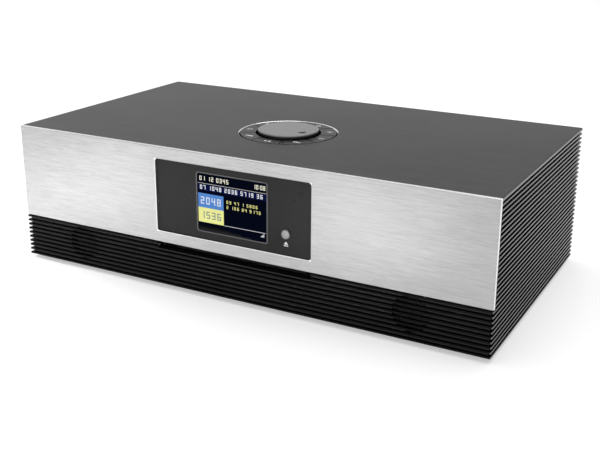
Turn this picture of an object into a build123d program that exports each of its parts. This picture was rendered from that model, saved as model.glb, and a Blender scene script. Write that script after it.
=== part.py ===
from build123d import *
from math import cos, pi, radians, sin
import os

# A table-top stereo receiver with a slot-in disc player, a colour display, two small
# speakers and a control dial in its lid. Millimetres. X is to the right, the front
# faces -Y, Z is up, and the origin is on the ground under the middle of the cabinet.

# ---- driving dimensions ----
width = 410.0
depth = 224.0
foot_height = 3.8
cabinet_height = 113.2
lid_thickness = 2.2
fascia_thickness = 2.2
fascia_bottom = foot_height + 36.05
front = -depth / 2
rear = depth / 2
cabinet_floor = foot_height
cabinet_top = foot_height + cabinet_height
window_face = front + fascia_thickness
lid_underside = cabinet_top - lid_thickness
inner_half_width = width / 2 - 4.7
edge_bevel = 0.8
window_bevel = 0.4
sheet = 1.2

# ribs that wrap the cabinet's sides and lower front
rib_pitch = 3.7
rib_first = 0.9
rib_land = 1.4
rib_mouth = 2.3
rib_depth = 2.3
wall_behind_ribs = 2.2
side_rib_count = 30
front_rib_count = 10

# disc slot and the path of a 120 mm disc behind it
slot_half_width = 67.5
slot_bottom = foot_height + 30.4
path_bottom = foot_height + 30.9
path_top = foot_height + 35.7
spindle_y = front + 82.0

# display window in the fascia
window_half_width = 68.0
window_bottom = foot_height + 44.8
window_top = foot_height + 103.3
window_middle = (window_bottom + window_top) / 2
window_corner = 2.2
window_thickness = 2.0
window_lap = 4.0
screen_width = 61.0
screen_height = 46.0
frame_width = 62.8
frame_height = 47.4
frame_proud = 0.3
eject_x = 46.6
eject_z = foot_height + 60.9
eject_radius = 3.6

# control dial in the lid
dial_y = front + 89.3
ring_outer = 39.7
ring_inner = 26.4
key_count = 9
key_thickness = 2.5
key_travel = 0.6
key_gap = 0.4
divider_width = 1.6
knob_radius = 24.7
knob_proud = 2.7
knob_depth = 5.7
shaft_radius = 3.0
running_gap = 0.03
press_travel = 0.5
dimple_distance = 15.9
dimple_angle = -17.5
dimple_ball = 9.0
dimple_depth = 1.0
first_key_angle = -90.0
key_step = 360.0 / key_count

# speakers
speaker_x = 145.6
speaker_z = foot_height + 19.7
speaker_opening = 14.0
speaker_flange = 17.0

# rear panel and sockets
rear_face = 101.5
pin_length = 9.6
neck_inset = 0.8
mains_x = -160.0
tuner_x = -44.0
network_x = 88.0
line_x = 36.0

# disc loader
loader_half_width = 68.0
loader_front = -105.0
loader_rear = 50.0
loader_floor = foot_height + 5.0
loader_wall = 2.0
guide_bottom = foot_height + 36.2
guide_top = guide_bottom + 1.4
roller_y = -96.5
roller_radius = 4.0
roller_z = path_bottom - 0.3 - roller_radius
roller_shaft = 1.5
gear_module = 0.5
roller_teeth = 40
pinion_teeth = 10
gear_backlash = 0.06
gear_thickness = 2.6
gear_x = 69.4
pinion_direction = -53.13
turntable_top = foot_height + 28.7
traverse_z = foot_height + 19.0
sled_start = 24.0

# boards
board_thickness = 1.6
board_z = foot_height + 8.0
display_board_y = front + 17.8
control_board_z = cabinet_top - 13.8
switch_body = 3.2
switch_nub = 0.6


def block(x_low, x_high, y_low, y_high, z_low, z_high, mode=Mode.ADD):
    """Add or cut a box between two corners."""
    with BuildSketch(Plane.XY.offset(z_low)) as outline:
        with Locations(((x_low + x_high) / 2, (y_low + y_high) / 2)):
            Rectangle(x_high - x_low, y_high - y_low)
    extrude(outline.sketch, amount=z_high - z_low, mode=mode)


def post(plane, radius, length, mode=Mode.ADD):
    """Add or cut a round bar that starts on a plane and runs along its normal."""
    with BuildSketch(plane) as outline:
        Circle(radius)
    extrude(outline.sketch, amount=length, mode=mode)


def upright(x, y, z):
    """A plane at a point, facing up."""
    return Plane(origin=(x, y, z), x_dir=(1, 0, 0), z_dir=(0, 0, 1))


def facing_back(x, y, z):
    """A plane at a point, facing the rear of the cabinet."""
    return Plane(origin=(x, y, z), x_dir=(1, 0, 0), z_dir=(0, 1, 0))


def facing_right(x, y, z):
    """A plane at a point, facing right, with the rear along its own X."""
    return Plane(origin=(x, y, z), x_dir=(0, 1, 0), z_dir=(1, 0, 0))


def panel_plane(y):
    """A plane that faces the front, with X to the right and Z up, at the given Y."""
    return Plane(origin=(0, y, 0), x_dir=(1, 0, 0), z_dir=(0, -1, 0))


def ribbed_outline(rib_count, wall, top):
    """Points of a ribbed wall's section: ribs point along +X, the back is at X = -wall."""
    half_land = rib_land / 2
    half_root = (rib_pitch - (rib_pitch - rib_mouth) * 0.85) / 2
    points = [(-wall, 0)]
    for index in range(rib_count):
        middle = rib_first + index * rib_pitch
        low_root = max(middle - half_root + 0.2, 0)
        points.append((0, low_root))
        points.append((rib_depth, max(middle - half_land, low_root)))
        points.append((rib_depth, middle + half_land))
        points.append((0, middle + half_root - 0.2))
    points.append((0, top))
    points.append((-wall, top))
    return points


def finish(builder, name):
    """Name a finished piece and write its file."""
    builder.part.label = name
    export_step(builder.part, f"parts/{name}.step")


os.makedirs("parts", exist_ok=True)

# ---- cabinet ----

# Side panels: extruded aluminium, ribbed outside, mitred to the lower front.
side_height = cabinet_height - lid_thickness
floor_x = width / 2 - rib_depth
mitre_reach = 10.0
for side, name in ((-1, "left_side_panel"), (1, "right_side_panel")):
    section_plane = Plane(
        origin=(side * floor_x, front, cabinet_floor), x_dir=(side, 0, 0), z_dir=(0, -side, 0)
    )
    with BuildPart() as side_panel:
        with BuildSketch(section_plane):
            with BuildLine():
                Polyline(*ribbed_outline(side_rib_count, wall_behind_ribs, side_height), close=True)
            make_face()
        extrude(amount=-side * depth)
        # the fascia covers the upper front edge
        block(-width, width, front, window_face, fascia_bottom, cabinet_top, Mode.SUBTRACT)
        # the mitre at the lower front corner
        with BuildSketch(Plane.XY.offset(cabinet_floor)) as mitre:
            with BuildLine():
                Polyline(
                    (side * width / 2, front),
                    (side * (width / 2 - mitre_reach), front),
                    (side * (width / 2 - mitre_reach), front + mitre_reach),
                    close=True,
                )
            make_face()
        extrude(mitre.sketch, amount=fascia_bottom - cabinet_floor, mode=Mode.SUBTRACT)
    finish(side_panel, name)

# Lower front: the same ribs across, mitred at both ends, with the disc slot at the
# top and a round opening at each end where only the ribs are left.
grille_top = fascia_bottom - 0.05
with BuildPart() as lower_front_grille:
    with BuildSketch(
        Plane(origin=(width / 2, front + rib_depth, cabinet_floor), x_dir=(0, -1, 0), z_dir=(-1, 0, 0))
    ):
        with BuildLine():
            Polyline(
                *ribbed_outline(front_rib_count, wall_behind_ribs, grille_top - cabinet_floor), close=True
            )
        make_face()
    extrude(amount=width)
    with BuildSketch(Plane.XY.offset(cabinet_floor)) as mitre_cuts:
        for side in (-1, 1):
            with BuildLine():
                Polyline(
                    (side * width / 2, front),
                    (side * (width / 2 - mitre_reach), front + mitre_reach),
                    (side * (width / 2 + 1), front + mitre_reach),
                    (side * (width / 2 + 1), front),
                    close=True,
                )
            make_face()
    extrude(mitre_cuts.sketch, amount=fascia_bottom - cabinet_floor, mode=Mode.SUBTRACT)
    block(
        -slot_half_width, slot_half_width, front - 1, front + mitre_reach, slot_bottom, cabinet_top,
        Mode.SUBTRACT,
    )
    for side in (-1, 1):
        post(
            facing_back(side * speaker_x, front + rib_depth - 0.1, speaker_z),
            speaker_opening,
            wall_behind_ribs + 1,
            Mode.SUBTRACT,
        )
finish(lower_front_grille, "lower_front_grille")

# Fascia: a brushed aluminium plate with the window cut out and bevelled outer edges.
with BuildPart() as front_fascia:
    block(-width / 2, width / 2, front, front + fascia_thickness, fascia_bottom, cabinet_top)
    front_edges = front_fascia.edges().filter_by_position(Axis.Y, front - 0.01, front + 0.01)
    chamfer(front_edges.sort_by(Axis.Z)[1:], edge_bevel)
    with BuildSketch(panel_plane(front)) as window_opening:
        with Locations((0, window_middle)):
            RectangleRounded(2 * window_half_width, window_top - window_bottom, window_corner)
    extrude(window_opening.sketch, amount=-fascia_thickness, mode=Mode.SUBTRACT)
    window_rim = [
        edge
        for edge in front_fascia.edges().filter_by_position(Axis.Y, front - 0.01, front + 0.01)
        if abs(edge.center().X) < window_half_width + 1
        and window_bottom - 1 < edge.center().Z < window_top + 1
    ]
    chamfer(window_rim, window_bevel)
finish(front_fascia, "front_fascia")

# Lid: an anodised plate with a bevelled hole for the dial and four screw blocks behind.
lid_screws_x = (-150, -50, 50, 150)
lid_screw_z = lid_underside - 5
lid_block = 10.0
lid_screw_bore = 1.5
with BuildPart() as top_plate:
    block(-width / 2, width / 2, front + fascia_thickness, rear, lid_underside, cabinet_top)
    side_edges = top_plate.edges().filter_by(Axis.Y).group_by(Axis.Z)[-1]
    chamfer(side_edges, edge_bevel)
    post(upright(0, dial_y, lid_underside), ring_outer, lid_thickness, Mode.SUBTRACT)
    rim = top_plate.edges().filter_by(GeomType.CIRCLE).sort_by(Axis.Z)[-1]
    chamfer(rim, edge_bevel)
    for x in lid_screws_x:
        block(
            x - lid_block / 2, x + lid_block / 2, rear_face - sheet - lid_block, rear_face - sheet,
            lid_underside - lid_block, lid_underside,
        )
        post(
            facing_back(x, rear_face - sheet - lid_block, lid_screw_z), lid_screw_bore, lid_block,
            Mode.SUBTRACT,
        )
finish(top_plate, "top_plate")

# Base tray: folded steel with side flanges, cooling slots and screw holes.
screw_head = 2.8
head_height = 1.6
screw_shank = 1.4
screw_length = 6.0
screw_hole = screw_shank + 0.1
loader_posts = [(x, y) for x in (-60, 60) for y in (-90, 30)]
tray_half_width = inner_half_width - 0.1
tray_front = front + rib_depth + wall_behind_ribs + 0.3
tray_rear = rear_face - 2
tray_bottom = cabinet_floor + 0.6
tray_top = tray_bottom + sheet
flange_top = tray_top + 8
flange_start = front + 60
with BuildPart() as base_tray:
    block(-tray_half_width, tray_half_width, tray_front, tray_rear, tray_bottom, tray_top)
    for side in (-1, 1):
        outer = side * tray_half_width
        inner = side * (tray_half_width - sheet)
        block(min(outer, inner), max(outer, inner), flange_start, tray_rear, tray_top, flange_top)
    with BuildSketch(Plane.XY.offset(tray_bottom)) as vents:
        with Locations((-140, 45), (140, 45)):
            with GridLocations(7, 34, 9, 2):
                SlotOverall(28, 3, rotation=90)
    extrude(vents.sketch, amount=sheet, mode=Mode.SUBTRACT)
    for x, y in loader_posts:
        post(upright(x, y, tray_bottom), screw_hole, sheet, Mode.SUBTRACT)
finish(base_tray, "base_tray")

# Rear panel: a steel plate set in from the cabinet's edge, cut out for its sockets.
socket_gap = 0.15
mains_width = 22.0
mains_height = 16.0
mains_z = board_z + board_thickness + mains_height / 2
network_width = 16.2
network_height = 13.6
network_z = board_z + board_thickness + network_height / 2
line_pitch = 14.0
line_radius = 4.15
line_z_low = board_z + board_thickness + 8.0
antenna_radius = 4.7
contact_bore = 1.6
antenna_z = board_z + board_thickness + 9.0
with BuildPart() as rear_panel:
    block(
        -inner_half_width + 0.2, inner_half_width - 0.2, rear_face - sheet, rear_face,
        tray_bottom, lid_underside - 0.2,
    )
    block(
        mains_x - mains_width / 2 - socket_gap, mains_x + mains_width / 2 + socket_gap,
        rear_face - sheet, rear_face,
        mains_z - mains_height / 2 - socket_gap, mains_z + mains_height / 2 + socket_gap, Mode.SUBTRACT,
    )
    block(
        network_x - network_width / 2 - socket_gap, network_x + network_width / 2 + socket_gap,
        rear_face - sheet, rear_face,
        network_z - network_height / 2 - socket_gap, network_z + network_height / 2 + socket_gap,
        Mode.SUBTRACT,
    )
    for column in (-0.5, 0.5):
        for row in (0, 1):
            post(
                facing_back(line_x + column * line_pitch, rear_face - sheet, line_z_low + row * line_pitch),
                line_radius + socket_gap, sheet, Mode.SUBTRACT,
            )
    post(
        facing_back(tuner_x, rear_face - sheet, antenna_z), antenna_radius + socket_gap, sheet, Mode.SUBTRACT
    )
    with BuildSketch(facing_back(0, rear_face - sheet, foot_height + 78)) as rear_vents:
        with GridLocations(7, 1, 25, 1):
            SlotOverall(30, 3, rotation=90)
    extrude(rear_vents.sketch, amount=sheet, mode=Mode.SUBTRACT)
    for x in lid_screws_x:
        post(facing_back(x, rear_face - sheet, lid_screw_z), screw_hole, sheet, Mode.SUBTRACT)
finish(rear_panel, "rear_panel")

# Feet: four rubber discs under the base.
foot_radius = 9.0
foot_x = 172.0
foot_y = 84.0
foot_top = tray_bottom
with BuildPart() as rubber_feet:
    for x in (-foot_x, foot_x):
        for y in (-foot_y, foot_y):
            post(upright(x, y, 0), foot_radius, foot_top)
    chamfer(rubber_feet.edges().filter_by(GeomType.CIRCLE).group_by(Axis.Z)[0], 0.6)
finish(rubber_feet, "rubber_feet")

# Case screws: four hold the rear panel to the lid, four hold the loader to the base.
hex_flats = 2.0
hex_depth = 0.9
with BuildPart() as case_screws:
    for x in lid_screws_x:
        post(facing_back(x, rear_face, lid_screw_z), screw_head, head_height)
        post(facing_back(x, rear_face - screw_length, lid_screw_z), screw_shank, screw_length)
        with BuildSketch(facing_back(x, rear_face + head_height - hex_depth, lid_screw_z)) as drive:
            RegularPolygon(hex_flats / 2, 6, major_radius=False)
        extrude(drive.sketch, amount=hex_depth, mode=Mode.SUBTRACT)
    for x, y in loader_posts:
        post(upright(x, y, tray_bottom - head_height), screw_head, head_height)
        post(upright(x, y, tray_bottom), screw_shank, screw_length)
        with BuildSketch(upright(x, y, tray_bottom - head_height)) as drive:
            RegularPolygon(hex_flats / 2, 6, major_radius=False)
        extrude(drive.sketch, amount=hex_depth, mode=Mode.SUBTRACT)
finish(case_screws, "case_screws")

# ---- display ----

window_back = window_face + window_thickness
hole_gap = 0.25

# Window: dark tinted acrylic behind the fascia, cut out for the screen and the button.
with BuildPart() as display_window:
    block(
        -window_half_width - window_lap, window_half_width + window_lap, window_face, window_back,
        window_bottom - window_lap, window_top + window_lap,
    )
    with BuildSketch(panel_plane(window_face)) as screen_hole:
        with Locations((0, window_middle)):
            RectangleRounded(screen_width + 0.2, screen_height + 0.2, 1.2)
    extrude(screen_hole.sketch, amount=-window_thickness, mode=Mode.SUBTRACT)
    post(facing_back(eject_x, window_face, eject_z), eject_radius + hole_gap, window_thickness, Mode.SUBTRACT)
finish(display_window, "display_window")

# Screen frame: a thin light metal line round the screen.
with BuildPart() as display_frame:
    with BuildSketch(panel_plane(window_face)):
        with Locations((0, window_middle)):
            RectangleRounded(frame_width, frame_height, 2.2)
            RectangleRounded(screen_width - 0.2, screen_height - 0.2, 1.3, mode=Mode.SUBTRACT)
    extrude(amount=frame_proud)
finish(display_frame, "display_frame")

# Screen: a 2.8 inch liquid crystal module set in the window.
screen_back = front + 8.0
with BuildPart() as lcd_panel:
    with BuildSketch(panel_plane(window_face + 0.1)) as glass:
        with Locations((0, window_middle)):
            RectangleRounded(screen_width, screen_height, 1.1)
    extrude(glass.sketch, amount=-window_thickness)
    block(
        -screen_width / 2 - 3, screen_width / 2 + 3, window_back + 0.1, screen_back,
        window_middle - screen_height / 2 - 2, window_middle + screen_height / 2 + 2,
    )
finish(lcd_panel, "lcd_panel")

# Display board: upright behind the screen, with its connector on the back.
board_back = display_board_y
board_front = display_board_y - board_thickness
with BuildPart() as display_board:
    block(-42, 62, board_front, board_back, foot_height + 46, foot_height + 102)
    block(-11, 11, board_back, board_back + 2.5, foot_height + 47, foot_height + 51)
    for x in (-38, 58):
        for z in (foot_height + 49, foot_height + 99):
            post(facing_back(x, window_back, z), 2.5, board_front - window_back)
finish(display_board, "display_board")

# Eject button: a turned cap with a flange that keeps it behind the window.
switch_face = board_front - switch_body - switch_nub
with BuildPart() as eject_button:
    post(facing_back(eject_x, front + 0.9, eject_z), eject_radius, window_back + 0.2 - front - 0.9)
    chamfer(eject_button.edges().filter_by(GeomType.CIRCLE).sort_by(Axis.Y)[0], 0.5)
    post(facing_back(eject_x, window_back + 0.2, eject_z), eject_radius + 1.2, 1.0)
    post(facing_back(eject_x, window_back + 1.2, eject_z), 1.5, switch_face - 1.0 - window_back - 1.2)
finish(eject_button, "eject_button")

# ---- dial ----

ring_middle = (ring_outer + ring_inner) / 2
key_underside = cabinet_top - key_thickness
carrier_top = cabinet_top - 4.2
carrier_thickness = 1.4
stem_radius = 1.5
board_top = control_board_z + board_thickness
nub_top = board_top + switch_body + switch_nub
key_angles = [first_key_angle + key_step * index for index in range(key_count)]


def on_ring(angle, radius):
    """A point of the dial at an angle and a distance from its centre."""
    return radius * cos(radians(angle)), dial_y + radius * sin(radians(angle))


# Nine keys in a ring, flush with the lid, each with a stem to its switch.
for index, angle in enumerate(key_angles):
    half = key_step / 2
    inset = divider_width / 2 + key_gap
    with BuildPart() as dial_key:
        with BuildSketch(upright(0, dial_y, key_underside)) as key_face:
            Circle(ring_outer - key_gap)
            Circle(ring_inner, mode=Mode.SUBTRACT)
            with BuildLine():
                # the wedge between two dividers, its sides set in from their centre lines
                apex = inset / sin(radians(half))
                reach = 2 * ring_outer
                start = Vector(apex, 0).rotate(Axis.Z, angle)
                sides = [Vector(reach, 0).rotate(Axis.Z, angle + turn) for turn in (-half, half)]
                Polyline(start, start + sides[0], start + sides[1], close=True)
            make_face(mode=Mode.INTERSECT)
        extrude(key_face.sketch, amount=key_thickness)
        chamfer(dial_key.edges().group_by(Axis.Z)[-1], 0.25)
        stem_x, stem_y = on_ring(angle, ring_middle)
        stem_end = nub_top + key_travel + 0.1
        post(upright(stem_x, stem_y, stem_end), stem_radius, key_underside - stem_end)
    finish(dial_key, f"dial_key_{index + 1}")

# Key carrier: a moulded ring that guides the stems and shows as thin ribs between keys.
with BuildPart() as key_carrier:
    with BuildSketch(upright(0, dial_y, carrier_top - carrier_thickness)) as carrier_floor:
        Circle(ring_outer + 4)
        Circle(shaft_radius + 6, mode=Mode.SUBTRACT)
        with PolarLocations(ring_middle, key_count, start_angle=first_key_angle):
            Circle(stem_radius + 0.25, mode=Mode.SUBTRACT)
    extrude(carrier_floor.sketch, amount=carrier_thickness)
    with BuildSketch(upright(0, dial_y, carrier_top)) as dividers:
        with PolarLocations(ring_middle, key_count, start_angle=first_key_angle + key_step / 2):
            Rectangle(ring_outer - ring_inner - 0.4, divider_width)
    extrude(dividers.sketch, amount=cabinet_top - 0.1 - carrier_top)
    with BuildSketch(upright(0, dial_y, carrier_top)) as inner_wall:
        Circle(ring_inner - 0.1)
        Circle(knob_radius + 0.7, mode=Mode.SUBTRACT)
    extrude(inner_wall.sketch, amount=2.0)
finish(key_carrier, "key_carrier")

# Control board: a round board under the dial, with four screw holes.
control_radius = 46.0
control_holes = 42.5
with BuildPart() as control_board:
    with BuildSketch(upright(0, dial_y, control_board_z)) as board_outline:
        Circle(control_radius)
        with PolarLocations(control_holes, 4, start_angle=45):
            Circle(1.6, mode=Mode.SUBTRACT)
    extrude(board_outline.sketch, amount=board_thickness)
    block(-9, 9, dial_y + 30, dial_y + 36, control_board_z - 2.5, control_board_z)
finish(control_board, "control_board")

# Push switches: nine under the dial keys and one behind the eject button.
switch_half = 3.0
nub_radius = 1.7
with BuildPart() as push_switches:
    for angle in key_angles:
        x, y = on_ring(angle, ring_middle)
        block(
            x - switch_half, x + switch_half, y - switch_half, y + switch_half,
            board_top, board_top + switch_body,
        )
        post(upright(x, y, board_top + switch_body), nub_radius, switch_nub)
    block(
        eject_x - switch_half, eject_x + switch_half, board_front - switch_body, board_front,
        eject_z - switch_half, eject_z + switch_half,
    )
    post(facing_back(eject_x, board_front - switch_body - switch_nub, eject_z), nub_radius, switch_nub)
finish(push_switches, "push_switches")

# Encoder: a square body on the board, its shaft turning and pressing in the bore.
encoder_half = 6.0
encoder_height = 6.2
collar_height = 1.6
bore_floor = board_top + 1.0
with BuildPart() as encoder_body:
    block(
        -encoder_half, encoder_half, dial_y - encoder_half, dial_y + encoder_half,
        board_top, board_top + encoder_height,
    )
    post(upright(0, dial_y, board_top + encoder_height), shaft_radius + 1.6, collar_height)
    post(
        upright(0, dial_y, bore_floor), shaft_radius + running_gap, encoder_height + collar_height,
        Mode.SUBTRACT,
    )
finish(encoder_body, "encoder_body")

knob_top = cabinet_top + knob_proud
shaft_top = knob_top - 2.4
with BuildPart() as encoder_shaft:
    shaft_bottom = bore_floor + press_travel + 0.2
    post(upright(0, dial_y, shaft_bottom), shaft_radius, shaft_top - shaft_bottom)
    chamfer(encoder_shaft.edges().filter_by(GeomType.CIRCLE).sort_by(Axis.Z)[-1], 0.4)
finish(encoder_shaft, "encoder_shaft")

# Jog dial: a turned aluminium knob, hollow below, with a finger dimple near its rim.
knob_wall = 2.5
hub_wall = 3.0
knob_crown = 2.2
knob_base = knob_top - knob_depth
with BuildPart() as jog_dial:
    post(upright(0, dial_y, knob_base), knob_radius, knob_depth)
    chamfer(jog_dial.edges().filter_by(GeomType.CIRCLE).sort_by(Axis.Z)[-1], 0.6)
    with BuildSketch(upright(0, dial_y, knob_base)) as hollow:
        Circle(knob_radius - knob_wall)
        Circle(shaft_radius + hub_wall, mode=Mode.SUBTRACT)
    extrude(hollow.sketch, amount=knob_depth - knob_crown, mode=Mode.SUBTRACT)
    post(upright(0, dial_y, knob_base), shaft_radius + running_gap, knob_depth - knob_crown, Mode.SUBTRACT)
    dimple_x, dimple_y = on_ring(dimple_angle, dimple_distance)
    with Locations((dimple_x, dimple_y, knob_top + dimple_ball - dimple_depth)):
        Sphere(dimple_ball, mode=Mode.SUBTRACT)
finish(jog_dial, "jog_dial")

# ---- disc loader ----

# The motor's pinion sits below and behind the feed roller, in mesh with its gear.
gear_distance = gear_module * (roller_teeth + pinion_teeth) / 2 + gear_backlash
pinion_y = roller_y + gear_distance * cos(radians(pinion_direction))
pinion_z = roller_z + gear_distance * sin(radians(pinion_direction))
motor_shaft = 0.75

# Chassis: an open box under the disc path, with bearings for the feed roller.
with BuildPart() as loader_chassis:
    block(-loader_half_width, loader_half_width, loader_front, loader_rear, loader_floor, guide_bottom)
    block(
        -loader_half_width + loader_wall, loader_half_width - loader_wall,
        loader_front + loader_wall, loader_rear - loader_wall,
        loader_floor + loader_wall, guide_bottom, Mode.SUBTRACT,
    )
    # the front wall is lower, so that a disc passes over it
    block(
        -loader_half_width + loader_wall, loader_half_width - loader_wall,
        loader_front, loader_front + loader_wall, path_bottom - 1.0, guide_bottom, Mode.SUBTRACT,
    )
    post(
        facing_right(-loader_half_width, roller_y, roller_z), roller_shaft + running_gap,
        2 * loader_half_width, Mode.SUBTRACT,
    )
    # the motor's shaft passes through the right wall
    post(facing_right(0, pinion_y, pinion_z), motor_shaft + 0.2, loader_half_width, Mode.SUBTRACT)
    # four bored posts stand on the base and take its screws
    for x, y in loader_posts:
        post(upright(x, y, tray_top), 4.0, loader_floor - tray_top)
        post(upright(x, y, tray_top), screw_shank + 0.1, loader_floor + loader_wall - tray_top, Mode.SUBTRACT)
finish(loader_chassis, "loader_chassis")

# Top guide: the plate over the disc, with a round hole for the clamp.
clamp_hole = 15.0
with BuildPart() as disc_top_guide:
    block(-loader_half_width, loader_half_width, loader_front, loader_rear, guide_bottom, guide_top)
    post(upright(0, spindle_y, guide_bottom), clamp_hole, guide_top - guide_bottom, Mode.SUBTRACT)
    for x in (-45, 45):
        block(x - 3, x + 3, -80, 20, guide_top, guide_top + 1.2)
finish(disc_top_guide, "disc_top_guide")

# Clamp: a free plate that hangs in the guide's hole over the turntable.
with BuildPart() as disc_clamp:
    post(upright(0, spindle_y, path_top + 0.2), clamp_hole - 0.6, guide_top + 0.1 - path_top - 0.2)
    post(upright(0, spindle_y, guide_top + 0.1), clamp_hole + 2.5, 1.4)
finish(disc_clamp, "disc_clamp")

# Dust seal: felt strips above and below the slot, behind the ribs.
seal_front = front + rib_depth + wall_behind_ribs + 0.1
seal_half = slot_half_width + 1.5
with BuildPart() as slot_dust_seal:
    block(-seal_half, seal_half, seal_front, seal_front + 1.6, slot_bottom - 4, path_bottom - 0.3)
    block(-seal_half, seal_half, seal_front, seal_front + 1.6, path_top + 0.2, path_top + 4)
finish(slot_dust_seal, "slot_dust_seal")

# Feed roller: a steel shaft with a rubber sleeve that is thinner in the middle.
roller_half = 58.0
shaft_reach = gear_x + gear_thickness + 0.3
with BuildPart() as feed_roller:
    post(facing_right(-shaft_reach, roller_y, roller_z), roller_shaft, 2 * shaft_reach)
    with BuildSketch(Plane(origin=(0, roller_y, roller_z), x_dir=(1, 0, 0), z_dir=(0, -1, 0))) as sleeve:
        with BuildLine():
            Polyline(
                (-roller_half, 0), (-roller_half, roller_radius), (0, roller_radius - 0.8),
                (roller_half, roller_radius), (roller_half, 0), close=True,
            )
        make_face()
    revolve(sleeve.sketch, axis=Axis((0, roller_y, roller_z), (1, 0, 0)))
finish(feed_roller, "feed_roller")


def gear_points(teeth, start):
    """Outline of a small moulded gear with straight-sided teeth, the first at an angle."""
    pitch_radius = gear_module * teeth / 2
    tip = pitch_radius + gear_module * 0.8
    root = pitch_radius - gear_module * 1.1
    half_root = (pi * gear_module / 4 + gear_module * 0.2 - gear_backlash) / root
    half_tip = (pi * gear_module / 4 - gear_module * 0.3 - gear_backlash) / tip
    points = []
    for tooth in range(teeth):
        middle = start + 2 * pi * tooth / teeth
        for radius, turn in ((root, -half_root), (tip, -half_tip), (tip, half_tip), (root, half_root)):
            points.append((radius * cos(middle + turn), radius * sin(middle + turn)))
    return points


# Roller gear on the shaft's right end, and the motor's pinion in mesh with it.
with BuildPart() as roller_gear:
    with BuildSketch(facing_right(gear_x, roller_y, roller_z)):
        with BuildLine():
            Polyline(*gear_points(roller_teeth, radians(pinion_direction)), close=True)
        make_face()
        Circle(roller_shaft, mode=Mode.SUBTRACT)
    extrude(amount=gear_thickness)
finish(roller_gear, "roller_gear")

loading_motor_radius = 8.0
loading_motor_length = 20.0
loading_motor_front = loader_half_width - loader_wall
with BuildPart() as loading_motor:
    motor_end = facing_right(loading_motor_front - loading_motor_length, pinion_y, pinion_z)
    post(motor_end, loading_motor_radius, loading_motor_length)
    post(motor_end, motor_shaft + running_gap, loading_motor_length, Mode.SUBTRACT)
finish(loading_motor, "loading_motor")

with BuildPart() as motor_pinion:
    with BuildSketch(facing_right(gear_x, pinion_y, pinion_z)) as pinion_outline:
        with BuildLine():
            half_tooth = pi / pinion_teeth
            Polyline(*gear_points(pinion_teeth, radians(pinion_direction) + pi + half_tooth), close=True)
        make_face()
    extrude(pinion_outline.sketch, amount=gear_thickness)
    shaft_end = loading_motor_front - loading_motor_length + 2
    post(facing_right(shaft_end, pinion_y, pinion_z), motor_shaft, gear_x - shaft_end)
finish(motor_pinion, "motor_pinion")

# Traverse: a sprung sub-frame that lifts the turntable and the laser to the disc.
traverse_half = 44.0
traverse_front = spindle_y - 24
traverse_rear = spindle_y + 74
spindle_radius = 1.0
rod_x = 24.0
rod_radius = 1.5
rod_z = traverse_z + 1.0
traverse_thickness = 2.0
sled_half_width = 28.0
sled_length = 20.0
screw_x = 33.0
screw_radius = 1.5
bay_front = spindle_y + 12.0
bay_rear = spindle_y + 70.0
sled_motor_radius = 5.0
sled_motor_length = 11.0
with BuildPart() as traverse_frame:
    block(
        -traverse_half, traverse_half, traverse_front, traverse_rear,
        traverse_z, traverse_z + traverse_thickness,
    )
    block(
        -sled_half_width - 3, sled_half_width + 11, bay_front, bay_rear,
        traverse_z, traverse_z + traverse_thickness, Mode.SUBTRACT,
    )
    block(
        screw_x - sled_motor_radius - 0.5, sled_half_width + 11,
        bay_front - sled_motor_length - 1.5, bay_front,
        traverse_z, traverse_z + traverse_thickness, Mode.SUBTRACT,
    )
    post(upright(0, spindle_y, traverse_z), 8.0, traverse_thickness, Mode.SUBTRACT)
finish(traverse_frame, "traverse_frame")

with BuildPart() as guide_rods:
    for x in (-rod_x, rod_x):
        post(facing_back(x, bay_front, rod_z), rod_radius, bay_rear - bay_front)
finish(guide_rods, "guide_rods")

spindle_motor_top = traverse_z + 4.0
with BuildPart() as spindle_motor:
    post(upright(0, spindle_y, traverse_z - 5.0), 11.5, 5.0)
    post(upright(0, spindle_y, traverse_z), 7.5, spindle_motor_top - traverse_z)
    post(upright(0, spindle_y, traverse_z - 4.0), spindle_radius + running_gap, 10.0, Mode.SUBTRACT)
finish(spindle_motor, "spindle_motor")

with BuildPart() as turntable:
    post(upright(0, spindle_y, spindle_motor_top + 0.5), 14.0, turntable_top - spindle_motor_top - 0.5)
    post(upright(0, spindle_y, turntable_top), 7.4, 1.6)
    chamfer(turntable.edges().filter_by(GeomType.CIRCLE).sort_by(Axis.Z)[-1], 0.9)
    post(upright(0, spindle_y, traverse_z - 3.5), spindle_radius, spindle_motor_top + 0.5 - traverse_z + 3.5)
finish(turntable, "turntable")

# Laser sled: rides on two rods, with its objective lens in a sprung ring on top.
sled_y = spindle_y + sled_start
lens_top = turntable_top - 1.8
with BuildPart() as laser_sled:
    block(
        -sled_half_width, sled_half_width, sled_y - sled_length / 2, sled_y + sled_length / 2,
        traverse_z - 2.5, traverse_z + 4.0,
    )
    block(-9, 9, sled_y - 8, sled_y + 8, traverse_z + 4.0, lens_top - 1.2)
    post(upright(0, sled_y, lens_top - 1.2), 4.5, 1.2)
    post(upright(0, sled_y, lens_top - 0.4), 3.2, 0.4, Mode.SUBTRACT)
    block(
        sled_half_width, screw_x - screw_radius - 0.3, sled_y - 4, sled_y + 8,
        traverse_z - 1.5, traverse_z + 3.0,
    )
    for x in (-rod_x, rod_x):
        post(
            facing_back(x, sled_y - sled_length, rod_z), rod_radius + running_gap, 2 * sled_length,
            Mode.SUBTRACT,
        )
finish(laser_sled, "laser_sled")

# Sled motor and its lead screw, which drives the sled along the rods.
journal_radius = 0.8
with BuildPart() as sled_motor:
    motor_face = bay_front - 1.0
    post(facing_back(screw_x, motor_face - sled_motor_length, rod_z), sled_motor_radius, sled_motor_length)
    post(facing_back(screw_x, motor_face - 9, rod_z), journal_radius + running_gap, 9, Mode.SUBTRACT)
finish(sled_motor, "sled_motor")

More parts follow.
